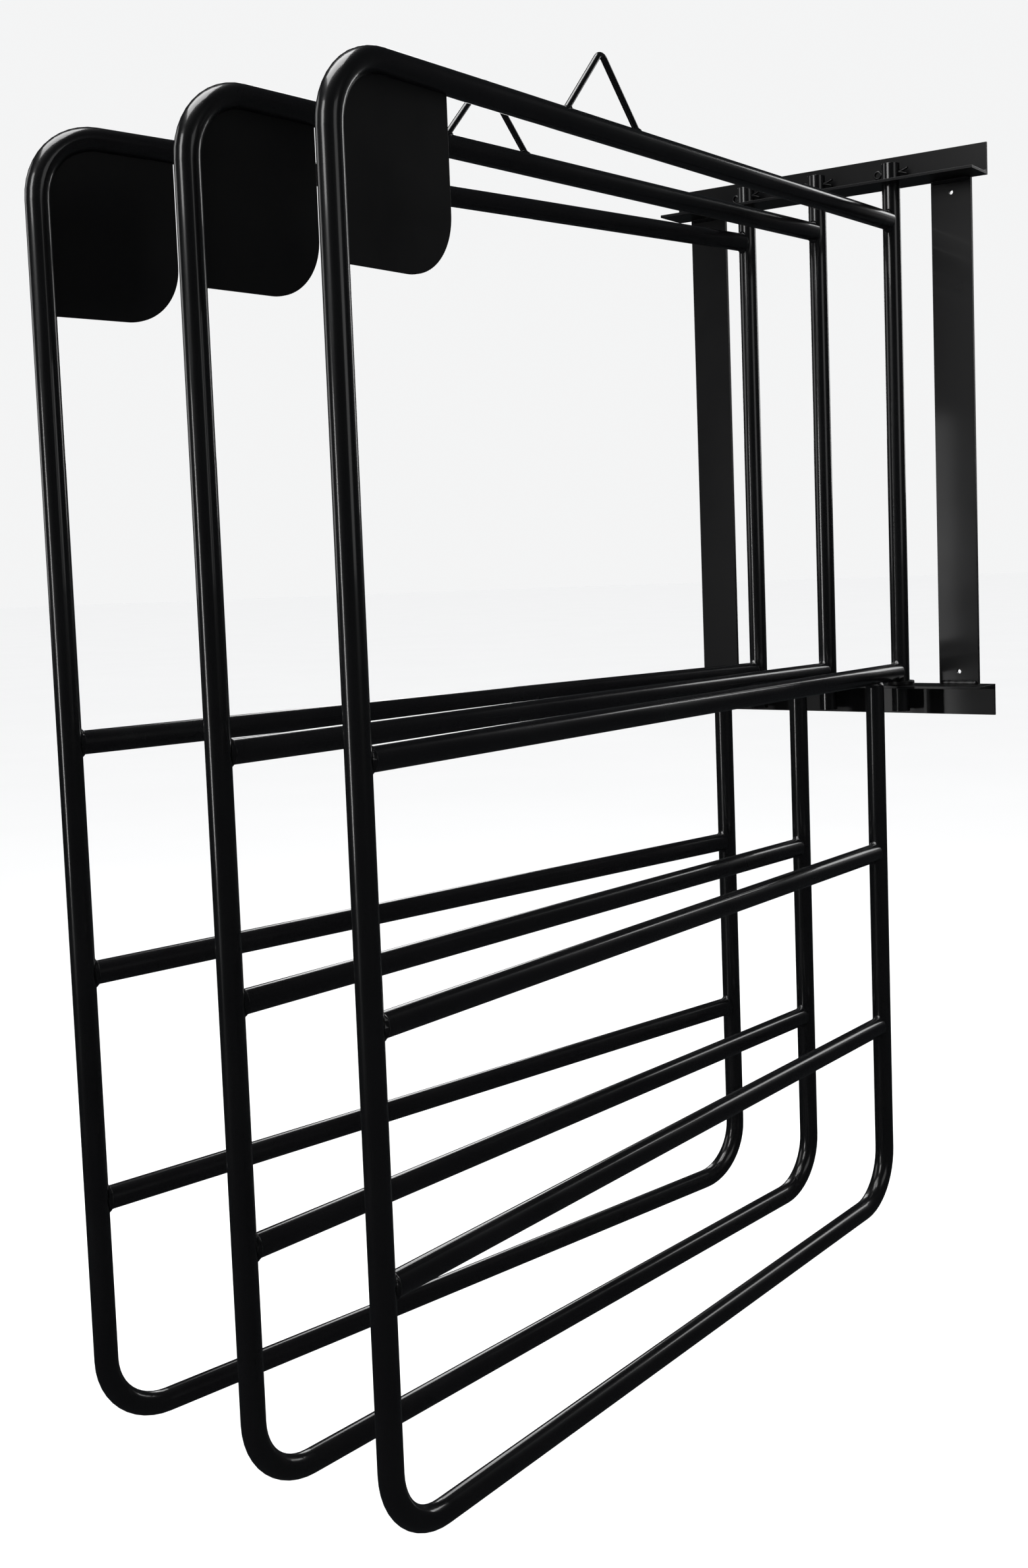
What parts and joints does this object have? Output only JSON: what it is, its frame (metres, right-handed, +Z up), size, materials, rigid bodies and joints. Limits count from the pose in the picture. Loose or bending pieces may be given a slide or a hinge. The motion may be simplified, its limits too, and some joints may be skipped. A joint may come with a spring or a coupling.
{
  "type": "wall mounted swing wing rack",
  "caption": "Wall rack for hanging cloths: tall black tube wings on vertical pivots between two wall angles, each with crossbars, a name plate and a peaked rod.",
  "frame": {"origin": "centre of the four wall screw holes, on the wall face", "axes": "+Z up, +Y into the wall, +X to the right as seen from the room"},
  "size_m": [0.5275, 1.0119, 1.2922],
  "materials": {
    "bracket_paint": "satin black powder coat on hot rolled angle and flat bar",
    "wing_paint": "gloss black powder coat on bent steel tube",
    "plate_paint": "satin black powder coat on sheet steel",
    "collar_steel": "black coated steel ring, rubbed where it turns",
    "pin_steel": "black coated steel split pin"
  },
  "bodies": {
    "bracket": {"upper_rail": "bracket_paint", "lower_rail": "bracket_paint", "right_riser": "bracket_paint", "left_riser": "bracket_paint"},
    "wing_1": {"wing_1_frame_tube": "wing_paint", "wing_1_pivot_tube": "wing_paint", "wing_1_middle_bar": "wing_paint", "wing_1_upper_crossbar": "wing_paint", "wing_1_lower_crossbar": "wing_paint", "wing_1_name_plate": "plate_paint", "wing_1_peaked_rod": "wing_paint", "wing_1_thrust_collar": "collar_steel", "wing_1_split_pin": "pin_steel"},
    "wing_2": {"wing_2_frame_tube": "wing_paint", "wing_2_pivot_tube": "wing_paint", "wing_2_middle_bar": "wing_paint", "wing_2_upper_crossbar": "wing_paint", "wing_2_lower_crossbar": "wing_paint", "wing_2_name_plate": "plate_paint", "wing_2_peaked_rod": "wing_paint", "wing_2_thrust_collar": "collar_steel", "wing_2_split_pin": "pin_steel"},
    "wing_3": {"wing_3_frame_tube": "wing_paint", "wing_3_pivot_tube": "wing_paint", "wing_3_middle_bar": "wing_paint", "wing_3_upper_crossbar": "wing_paint", "wing_3_lower_crossbar": "wing_paint", "wing_3_name_plate": "plate_paint", "wing_3_peaked_rod": "wing_paint", "wing_3_thrust_collar": "collar_steel", "wing_3_split_pin": "pin_steel"}
  },
  "joints": [
    {"name": "wing_1_swing", "type": "hinge", "parent": "bracket", "child": "wing_1", "pos_m": [0.1, -0.0254, 0], "axis": [0, 0, 1], "range_deg": [0, 60]},
    {"name": "wing_2_swing", "type": "hinge", "parent": "bracket", "child": "wing_2", "pos_m": [0, -0.0254, 0], "axis": [0, 0, 1], "range_deg": [-10, 7]},
    {"name": "wing_3_swing", "type": "hinge", "parent": "bracket", "child": "wing_3", "pos_m": [-0.1, -0.0254, 0], "axis": [0, 0, 1], "range_deg": [-46, 0]}
  ]
}
